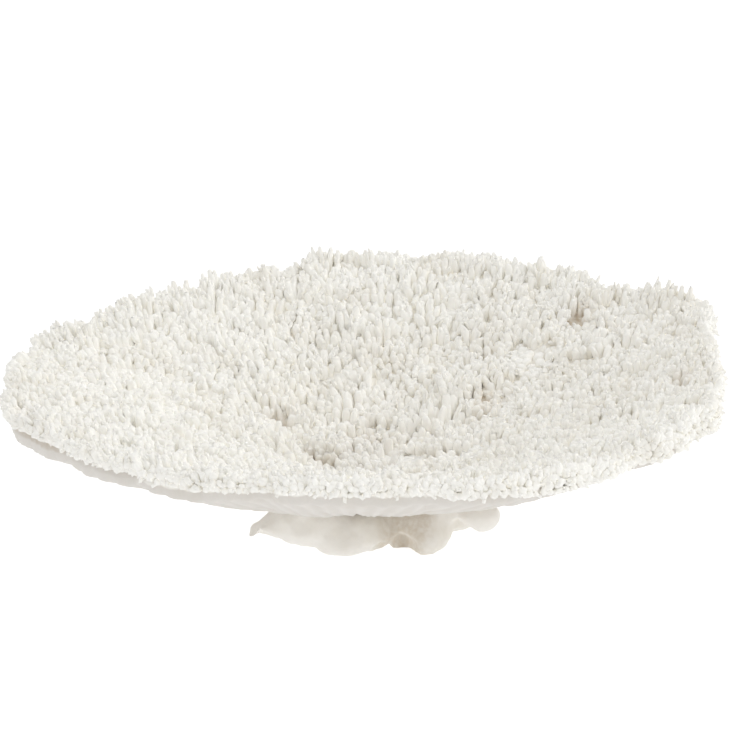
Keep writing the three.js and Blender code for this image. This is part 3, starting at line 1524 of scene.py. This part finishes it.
@dataclass(frozen=True)
class Pull:
    """A part of the stump that grew out further, or was worn away, in millimetres.

    Attributes:
        at: its middle.
        reach: how far round the middle it is felt.
        by: how far the middle moves.
    """

    at: tuple[float, float, float]
    reach: float
    by: tuple[float, float, float]

    def moved(self, places: Array) -> Array:
        """Returns places, in metres, after the pull."""
        off = np.linalg.norm(places - np.array(self.at) * MM, axis=1) / (self.reach * MM)
        return places + np.outer(1 - smoothstep(0.0, 1.0, off), np.array(self.by) * MM)


STUMP_PULLS = (
    Pull((-58, -38, 16), 15, (0, -2, -7)),  # the ledge's thin top
    Pull((-57, -27, 16), 13, (0, 0, -5)),
    Pull((-54, -44, 3), 10, (5, 5, 3)),  # hollow under the ledge
    Pull((-60, -39, 8), 8, (1, -2, -2)),  # its sharp tip
    Pull((14, -55, 1), 7, (0, 9, 3)),  # notch between two feet
    Pull((26, -54, 3), 10, (-1, 13, 3)),  # cavity beside the ball foot
    Pull((38, -55, 7), 11, (1, -4, -1)),  # the ball foot
    Pull((-6, -58, 6), 9, (0, -3, -1)),  # the middle foot
    Pull((58, -50, 12), 9, (-3, 6, 3)),  # neck before the knob
    Pull((22, -56, 17), 12, (0, 5, 1)),  # crease above the cavity
    Pull((-30, -55, 17), 8, (0, 3, 0)),  # crease above the left bulge
)


@dataclass
class Holdfast:
    """The stump that the dish grew from, overgrown and melted together.

    Attributes:
        node: the frame's node that it stands for.
        swell: how far it is grown before it is smoothed.
        voxel: how fine its surface is.
        melt: how much its lumps melt together.
        crown_fill: how far under the crown's top the stump ends and its branchlets begin.
        lumps: the size and the height of its broad and its small lumps.
        pulls: where it grew further or was worn away.
        tan: the tan tint low on its front, partly stained and partly painted shade in the crease above
            the cavity.
        tan_top: how high that reaches, and where the dish's own staining and painted shade begin.
        weld: corners closer together than this are one corner.
        smoothing: how far each smoothing of the surface goes.
        seed: where the random draws of its branchlets start.
    """

    node: str = "holdfast"
    swell: float = 1.0 * MM
    voxel: float = 1.1 * MM
    melt: int = 7
    crown_fill: float = 8 * MM
    lumps: tuple[tuple[float, float], ...] = ((13 * MM, 2.6 * MM), (5 * MM, 1.1 * MM))
    pulls: tuple[Pull, ...] = STUMP_PULLS
    tan: Patch = Patch((27, -52), (20, 14), 0, 0.4)
    tan_top: float = 25 * MM
    weld: float = 0.01 * MM
    smoothing: float = 0.6
    seed: int = 90

    def build(self, thicket: Thicket, twigs: list[Twig], look: bpy.types.Material) -> bpy.types.Object:
        """Builds the holdfast and puts it in the frame.

        Args:
            thicket: the crown's branchlets.
            twigs: the kinds of branchlet.
            look: its finish.

        Returns:
            The finished piece.
        """
        piece = self._melted_solid()
        self._shape(piece)
        self._mask(piece.data)
        dress(piece, thicket.mesh("branchlets", twigs, self.seed), "holdfast_stump", look)
        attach(piece, BODY)
        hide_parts(self.node)
        return piece

    def _melted_solid(self) -> bpy.types.Object:
        """Melts a copy of the frame's solid into one smooth, lumpy surface.

        Returns:
            The copy.
        """
        piece = bring_in(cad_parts[self.node].data.copy())
        choose(piece)
        bpy.ops.object.mode_set(mode="EDIT")
        bpy.ops.mesh.select_all(action="SELECT")
        bpy.ops.mesh.remove_doubles(threshold=self.weld)
        bpy.ops.object.mode_set(mode="OBJECT")
        turn_faces_out(piece)
        apply_modifier(piece, "REMESH", mode="VOXEL", voxel_size=self.voxel)
        apply_modifier(piece, "DISPLACE", strength=self.swell, mid_level=0.0)
        apply_modifier(piece, "REMESH", mode="VOXEL", voxel_size=self.voxel)
        apply_modifier(piece, "SMOOTH", factor=self.smoothing, iterations=self.melt)
        return piece

    def _shape(self, piece: bpy.types.Object) -> None:
        """Gives the stump its lumps, ledge, feet and flat cut.

        Args:
            piece: the stump.
        """
        for size, height in self.lumps:
            clouds = bpy.data.textures.new("lumps", "CLOUDS")
            clouds.noise_scale = size
            apply_modifier(
                piece, "DISPLACE", texture=clouds, texture_coords="LOCAL", strength=height, mid_level=0.5
            )
        places = places_of(piece.data)
        for pull in self.pulls:
            places = pull.moved(places)
        places[:, 2] = np.clip(places[:, 2], 0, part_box(self.node)[1].z - self.crown_fill)
        put_places(piece.data, places)
        choose(piece)
        bpy.ops.object.shade_smooth()

    def _mask(self, mesh: bpy.types.Mesh) -> None:
        """Gives the stump its masks.

        Args:
            mesh: the stump's mesh.
        """
        x, y, z = places_of(mesh).T
        high, low = z > self.tan_top, z < self.tan_top
        put_mask(mesh, GROWTH_AND_SHADE, np.full(len(x), 0.2))
        # above tan_top, the dish's staining and painted shade; below it, the tan tint, partly stained
        # and partly painted shade by the crease
        put_mask(mesh, STAIN, change_at(Change.STAIN, x, y) * high + self.tan.mask(x, y) * low)
        put_mask(mesh, TONE, np.full(len(x), 0.5))


# --- Finishes -------------------------------------------------------------------------------------

Colour = tuple[float, float, float, float]
WHITE: Colour = (1.0, 1.0, 1.0, 1.0)
FLECKS = 380.0  # how many flecks of a stain there are in a metre


class Wiring:
    """Adds nodes to a node tree and links them, with few words.

    Attributes:
        tree: the node tree.
    """

    def __init__(self, tree: bpy.types.NodeTree) -> None:
        """Starts on a tree, and takes all its nodes away."""
        self.tree = tree
        tree.nodes.clear()

    def add(self, kind: str, **settings: object) -> bpy.types.Node:
        """Adds a node.

        Args:
            kind: the node's type, without its ShaderNode prefix, or a full type name.
            settings: its properties by name.

        Returns:
            The node.
        """
        full = kind if kind.startswith("Node") else "ShaderNode" + kind
        node = self.tree.nodes.new(full)
        for name, value in settings.items():
            setattr(node, name, value)
        return node

    def put(self, target: bpy.types.NodeSocket, source: object) -> None:
        """Links a socket to an output, or sets its value.

        Args:
            target: the socket.
            source: the output, or a plain value.
        """
        if isinstance(source, bpy.types.NodeSocket):
            self.tree.links.new(source, target)
        else:
            target.default_value = source

    def maths(self, operation: str, *values: object) -> bpy.types.NodeSocket:
        """Works a value out.

        Args:
            operation: what a Math node does with the values.
            values: sockets or numbers.

        Returns:
            The result.
        """
        node = self.add("Math", operation=operation)
        for socket, value in zip(node.inputs, values):
            self.put(socket, value)
        return node.outputs[0]

    def mixed(
        self, share: object, first: object, second: object, blend: str = "MIX"
    ) -> bpy.types.NodeSocket:
        """Mixes two colours.

        Args:
            share: how much there is of the second, from 0 to 1.
            first: the first colour.
            second: the second colour.
            blend: the way in which the second is laid over the first.

        Returns:
            The mixed colour.
        """
        node = self.add("Mix", data_type="RGBA", blend_type=blend)
        self.put(node.inputs["Factor"], share)
        self.put(node.inputs["A"], first)
        self.put(node.inputs["B"], second)
        return node.outputs["Result"]

    def ranged(
        self, value: object, low: float, high: float, to_low: float = 0.0, to_high: float = 1.0
    ) -> bpy.types.NodeSocket:
        """Moves a value smoothly from one range to another, and holds it inside that.

        Args:
            value: the value.
            low: where its range starts.
            high: where its range ends.
            to_low: where the other range starts.
            to_high: where the other range ends.

        Returns:
            The value in the other range.
        """
        node = self.add("MapRange", interpolation_type="SMOOTHSTEP")
        names = ("Value", "From Min", "From Max", "To Min", "To Max")
        for name, given in zip(names, (value, low, high, to_low, to_high)):
            self.put(node.inputs[name], given)
        return node.outputs["Result"]


def node_group(
    name: str, inputs: dict[str, object], outputs: dict[str, str]
) -> tuple[bpy.types.NodeTree, Wiring]:
    """Starts a shader node group.

    Args:
        name: its name.
        inputs: each input's default value by name: a number, or a colour of four numbers.
        outputs: each output's socket type by name.

    Returns:
        The group, and what wires it.
    """
    tree = bpy.data.node_groups.new(name, "ShaderNodeTree")
    for label, value in inputs.items():
        kind = "NodeSocketColor" if isinstance(value, tuple) else "NodeSocketFloat"
        socket = tree.interface.new_socket(label, in_out="INPUT", socket_type=kind)
        socket.default_value = value
    for label, kind in outputs.items():
        tree.interface.new_socket(label, in_out="OUTPUT", socket_type=kind)
    return tree, Wiring(tree)


def relief_group() -> bpy.types.NodeTree:
    """Makes the group for the skeleton's pores and grain.

    Returns:
        The group. It gives a height, and a mask of the pores.
    """
    tree, wire = node_group(
        "skeleton_relief",
        {"Pore size": 1.1 * MM, "Grain size": 0.5 * MM, "Grain share": 0.4},
        {"Height": "NodeSocketFloat", "Pores": "NodeSocketFloat"},
    )
    given = wire.add("NodeGroupInput").outputs
    out = wire.add("NodeGroupOutput").inputs
    place = wire.add("TexCoord").outputs["Object"]
    cells = wire.add("TexVoronoi", feature="F1")
    wire.put(cells.inputs["Vector"], place)
    wire.put(cells.inputs["Scale"], wire.maths("DIVIDE", 1.0, given["Pore size"]))
    pores = wire.ranged(cells.outputs["Distance"], 0.12, 0.42, 1.0, 0.0)
    grain = wire.add("TexNoise")
    wire.put(grain.inputs["Vector"], place)
    wire.put(grain.inputs["Scale"], wire.maths("DIVIDE", 1.0, given["Grain size"]))
    wire.put(grain.inputs["Detail"], 3.0)
    rough = wire.maths("MULTIPLY", grain.outputs[0], given["Grain share"])
    wire.put(out["Height"], wire.maths("SUBTRACT", rough, pores))
    wire.put(out["Pores"], pores)
    return tree


def weather_group() -> bpy.types.NodeTree:
    """Makes the group for a weathered skeleton's colour.

    Returns:
        The group. It gives a colour, mottled and stained in flecks, with painted shade flecked in the
        same way.
    """
    tree, wire = node_group(
        "weathered_skeleton",
        {
            "Color": (0.9, 0.88, 0.82, 1.0),
            "Mottle color": (0.7, 0.66, 0.55, 1.0),
            "Mottle size": 22 * MM,
            "Mottle amount": 0.3,
            "Stain color": (0.5, 0.38, 0.22, 1.0),
            "Stain": 0.0,
        },
        {"Color": "NodeSocketColor"},
    )
    given = wire.add("NodeGroupInput").outputs
    out = wire.add("NodeGroupOutput").inputs
    place = wire.add("TexCoord").outputs["Object"]
    broad = wire.add("TexNoise")
    wire.put(broad.inputs["Vector"], place)
    wire.put(broad.inputs["Scale"], wire.maths("DIVIDE", 1.0, given["Mottle size"]))
    wire.put(broad.inputs["Detail"], 4.0)
    clouds = wire.ranged(broad.outputs[0], 0.42, 0.68)
    cloudy = wire.maths("MULTIPLY", clouds, given["Mottle amount"])
    mottled = wire.mixed(cloudy, given["Color"], given["Mottle color"], "MULTIPLY")
    flecks = wire.add("TexNoise")
    wire.put(flecks.inputs["Vector"], place)
    wire.put(flecks.inputs["Scale"], FLECKS)
    wire.put(flecks.inputs["Detail"], 2.0)
    flecked = wire.ranged(flecks.outputs[0], 0.25, 0.7, 0.35, 1.0)
    stained = wire.maths("MULTIPLY", flecked, given["Stain"])
    wire.put(out["Color"], wire.mixed(stained, mottled, given["Stain color"]))
    return tree


@dataclass(frozen=True)
class SkeletonFinish:
    """Bleached coral skeleton, matt and porous, cream where it is older and where shade is painted, and
    whiter at its tips.

    Attributes:
        name: the material's name.
        old: its colour low down, which is the older skeleton's own and also painted shade where the mask
            is lowered for shade.
        young: its colour at the tips.
        mottle: the colour of its mottling.
        mottle_amount: how strong the mottling is.
        stain: the colour where it is stained, and of the painted shade laid on in the same way.
        pore_size: the distance between pores.
        pore_tint: how much of the mottling's colour the pores have.
        tone_range: how much of it a branchlet may have more than the next.
        relief: how deep pores and grain are.
        bump: how strongly they catch the light.
        roughness: how rough its surface is, and its pores are.
        shine: how much it reflects.
        matt: how evenly it scatters light.
    """

    name: str
    old: Colour
    young: Colour
    mottle: Colour
    mottle_amount: float
    stain: Colour = (0.52, 0.41, 0.26, 1.0)
    pore_size: float = 1.1 * MM
    pore_tint: float = 0.06
    tone_range: float = 0.07
    relief: float = 0.25 * MM
    bump: float = 0.25
    roughness: tuple[float, float] = (0.82, 0.95)
    shine: float = 0.2
    matt: float = 1.0

    def material(self, relief: bpy.types.NodeTree, weather: bpy.types.NodeTree) -> bpy.types.Material:
        """Makes the material.

        Args:
            relief: the node group for pores and grain.
            weather: the node group for mottling and stains.

        Returns:
            The material.
        """
        made = bpy.data.materials.new(self.name)
        made.use_nodes = True
        wire = Wiring(made.node_tree)
        # both masks below carry painted shade as well as growth and staining
        growth = wire.add("Attribute", attribute_name=GROWTH_AND_SHADE).outputs["Fac"]
        stain = wire.add("Attribute", attribute_name=STAIN).outputs["Fac"]
        tone = wire.add("Attribute", attribute_name=TONE).outputs["Fac"]
        pores = wire.add("Group", node_tree=relief)
        wire.put(pores.inputs["Pore size"], self.pore_size)
        # darker where the growth mask is low: the older skeleton's own colour, and painted shade under
        # the plates, between their ribs and on bare drooping rims
        plain = wire.mixed(wire.ranged(growth, 0.0, 0.35), self.old, self.young)
        toned = wire.mixed(wire.ranged(tone, 0.0, 1.0, 0.0, self.tone_range), plain, self.mottle)
        tint = wire.maths("MULTIPLY", pores.outputs["Pores"], self.pore_tint)
        weathered = wire.add("Group", node_tree=weather)
        wire.put(weathered.inputs["Color"], wire.mixed(tint, toned, self.mottle))
        wire.put(weathered.inputs["Mottle color"], self.mottle)
        wire.put(weathered.inputs["Mottle amount"], self.mottle_amount)
        wire.put(weathered.inputs["Stain color"], self.stain)
        wire.put(weathered.inputs["Stain"], stain)
        bump = wire.add("Bump")
        bump.inputs["Distance"].default_value = self.relief
        bump.inputs["Strength"].default_value = self.bump
        wire.put(bump.inputs["Height"], pores.outputs["Height"])
        shader = wire.add("BsdfPrincipled")
        wire.put(shader.inputs["Base Color"], weathered.outputs["Color"])
        rough = wire.ranged(pores.outputs["Pores"], 0.0, 1.0, *self.roughness)
        wire.put(shader.inputs["Roughness"], rough)
        wire.put(shader.inputs["Normal"], bump.outputs["Normal"])
        shader.inputs["Specular IOR Level"].default_value = self.shine
        shader.inputs["Diffuse Roughness"].default_value = self.matt
        output = wire.add("OutputMaterial")
        wire.put(output.inputs["Surface"], shader.outputs["BSDF"])
        return made


FAN_FINISH = SkeletonFinish(
    "bleached_skeleton",
    # the darker colour under the plates: partly the older skeleton's own, partly painted shade
    old=(0.72, 0.69, 0.65, 1.0),
    young=(0.985, 0.977, 0.948, 1.0),
    mottle=(0.94, 0.925, 0.895, 1.0),
    mottle_amount=0.4,
)
HOLDFAST_FINISH = SkeletonFinish(
    "overgrown_skeleton",
    old=(0.93, 0.90, 0.85, 1.0),
    young=(0.955, 0.945, 0.915, 1.0),
    mottle=(0.88, 0.86, 0.81, 1.0),
    mottle_amount=0.5,
    pore_size=2.4 * MM,
    pore_tint=0.2,
    relief=0.2 * MM,
)


# --- The studio -----------------------------------------------------------------------------------


@dataclass(frozen=True)
class SoftBox:
    """A soft lamp.

    Attributes:
        at: where it hangs.
        size: the length of its side.
        power: how strong it is, in watts.
        warmth: its colour.
    """

    at: tuple[float, float, float]
    size: float
    power: float
    warmth: tuple[float, float, float] = (1.0, 1.0, 1.0)

    def hang(self, name: str, target: Vector) -> None:
        """Hangs the lamp.

        Args:
            name: its name.
            target: the place that it points at.
        """
        lamp = bpy.data.lights.new(name, "AREA")
        lamp.shape = "DISK"
        lamp.size = self.size
        lamp.energy = self.power
        lamp.color = self.warmth
        holder = bpy.data.objects.new(name, lamp)
        holder.location = self.at
        holder.rotation_euler = (target - Vector(self.at)).to_track_quat(*LAMP_AXES).to_euler()
        bpy.context.scene.collection.objects.link(holder)


def seen_brighter(tree: bpy.types.NodeTree, lighting: float, seen: float) -> bpy.types.NodeSocket:
    """Adds a brightness that differs between the light it gives and the way it is seen.

    Args:
        tree: the node tree to add to.
        lighting: the brightness of the light that falls on the coral.
        seen: the brightness that the camera sees.

    Returns:
        The brightness.
    """
    path = tree.nodes.new("ShaderNodeLightPath")
    chosen = tree.nodes.new("ShaderNodeMapRange")
    chosen.inputs["To Min"].default_value = lighting
    chosen.inputs["To Max"].default_value = seen
    tree.links.new(path.outputs["Is Camera Ray"], chosen.inputs["Value"])
    return chosen.outputs["Result"]


@dataclass
class Studio:
    """The floor, the lamps, the surroundings and the camera.

    Attributes:
        target: the place that the camera and the lamps point at.
        distance: how far the camera is from it.
        elevation: how steeply the camera looks down, in degrees.
        lens: the camera's focal length, in millimetres.
        sensor: the width of its sensor, in millimetres.
        sight: the nearest and the furthest that it sees.
        floor_size: the length of the floor's side.
        floor_grey: how light the floor's own grey is.
        floor_roughness: how rough the floor is.
        floor_shine: how much it reflects.
        floor_glow: how brightly it glows, as light and as the camera sees it.
        room_glow: how bright the room is, as light and as the camera sees it.
        diffuse_bounces: how often light goes from one matt surface to the next.
        bounces: how often it goes on in any way.
        lamps: the lamps.
    """

    target: Vector = field(default_factory=lambda: Vector((7.7 * MM, 0, 88 * MM)))
    distance: float = 1.5
    elevation: float = 19.5
    lens: float = 131.0
    sensor: float = 36.0
    sight: tuple[float, float] = (0.05, 100.0)
    floor_size: float = 30.0
    floor_grey: float = 0.45
    floor_roughness: float = 0.9
    floor_shine: float = 0.1
    floor_glow: tuple[float, float] = (0.64, 0.8)
    room_glow: tuple[float, float] = (0.82, 1.0)
    diffuse_bounces: int = 12
    bounces: int = 14
    lamps: tuple[SoftBox, ...] = (SoftBox((3.2, 0.4, 2.6), 4.0, 62.0),)

    def build(self) -> None:
        """Sets everything up."""
        self._floor()
        for index, lamp in enumerate(self.lamps):
            lamp.hang(f"soft_lamp_{index}", self.target)
        self._surroundings()
        self._camera()
        scene = bpy.context.scene
        scene.cycles.diffuse_bounces = self.diffuse_bounces
        scene.cycles.max_bounces = self.bounces
        scene.view_settings.view_transform = "Standard"
        scene.view_settings.look = "None"

    def _floor(self) -> None:
        """Lays the pale floor."""
        deselect_all()
        bpy.ops.mesh.primitive_plane_add(size=self.floor_size)
        floor = bpy.context.object
        floor.name = "floor"
        made = bpy.data.materials.new("pale_floor")
        made.use_nodes = True
        shader = made.node_tree.nodes["Principled BSDF"]
        glow = seen_brighter(made.node_tree, *self.floor_glow)
        made.node_tree.links.new(glow, shader.inputs["Emission Strength"])
        shader.inputs["Base Color"].default_value = (self.floor_grey,) * 3 + (1.0,)
        shader.inputs["Roughness"].default_value = self.floor_roughness
        shader.inputs["Specular IOR Level"].default_value = self.floor_shine
        shader.inputs["Emission Color"].default_value = WHITE
        floor.data.materials.append(made)

    def _surroundings(self) -> None:
        """Fills the room with even white light."""
        world = bpy.data.worlds.new("white_room")
        world.use_nodes = True
        backdrop = world.node_tree.nodes["Background"]
        backdrop.inputs["Color"].default_value = WHITE
        glow = seen_brighter(world.node_tree, *self.room_glow)
        world.node_tree.links.new(glow, backdrop.inputs["Strength"])
        bpy.context.scene.world = world

    def _camera(self) -> None:
        """Sets the camera in front of the coral, looking slightly down."""
        data = bpy.data.cameras.new("camera")
        data.lens = self.lens
        data.sensor_width = self.sensor
        data.clip_start, data.clip_end = self.sight
        camera = bpy.data.objects.new("camera", data)
        rise = math.radians(self.elevation)
        away = Vector((0, -math.cos(rise), math.sin(rise)))
        camera.location = self.target + away * self.distance
        camera.rotation_euler = (-away).to_track_quat(*LAMP_AXES).to_euler()
        bpy.context.scene.collection.objects.link(camera)
        bpy.context.scene.camera = camera


# --- Putting it together ----------------------------------------------------------------------------


def branchlet_kinds() -> list[Twig]:
    """Models the kinds of branchlet that the coral has.

    Returns:
        One of each.
    """
    patterns = [
        TwigPattern(seed=1),
        TwigPattern(seed=2, taper=(1.0, 1.02, 0.95, 0.76), bow=0.6),
        TwigPattern(seed=3, taper=(0.98, 0.94, 0.84, 0.66), bow=0.3, shoots=(0.5,)),
        TwigPattern(seed=4, taper=(1.04, 1.0, 0.95, 0.76), bow=0.5, shoots=(0.5, 0.7)),
        TwigPattern(seed=5, taper=(1.0, 0.92, 0.82, 0.64), bow=0.7, shoots=(0.5,)),
        TwigPattern(seed=6, bow=0.5, shoots=(0.45, 0.5)),
        TwigPattern(seed=7, taper=(1.0, 1.04, 0.95, 0.74), bow=0.2, crown=0.09),
        TwigPattern(seed=8, taper=(1.0, 0.98, 0.9, 0.7), bow=0.6, shoots=(0.7,), crown=0.08),
    ]
    return [pattern.model() for pattern in patterns]


def crown_radius() -> float:
    """Reads from the frame where the fans begin.

    Returns:
        Their distance from the middle.
    """
    nearest = [
        np.hypot(*places_of(node.data)[:, :2].T).min()
        for name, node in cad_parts.items()
        if name.startswith("fan_")
    ]
    return float(min(nearest))


def main() -> None:
    """Builds the coral and the studio around it."""
    logging.basicConfig(level=logging.INFO, format="%(message)s")
    fans = [node for name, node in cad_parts.items() if name.startswith("fan_")]
    form = DishForm(fans, crown_radius())
    log.info("measured %d fans", len(form.fans))
    growth = Growth(form)
    twigs = branchlet_kinds()
    upright, on_fan = growth.plant()
    nubs, on_rim = growth.plant_rim()
    log.info("planted %d branchlets and %d nubs on the rim", len(on_fan), len(on_rim))
    relief, weather = relief_group(), weather_group()
    skeleton = FAN_FINISH.material(relief, weather)
    overgrown = HOLDFAST_FINISH.material(relief, weather)
    for index in range(len(form.fans)):
        thicket = Thicket.together(upright.only(on_fan == index), nubs.only(on_rim == index))
        piece = FanPiece(index, form, growth, Ribs()).build(thicket, twigs, skeleton)
        log.info("%s: %d faces", piece.name, len(piece.data.polygons))
    stump = Holdfast().build(upright.only(on_fan == -1), twigs, overgrown)
    log.info("%s: %d faces", stump.name, len(stump.data.polygons))
    Studio().build()


if __name__ == "__main__":
    main()
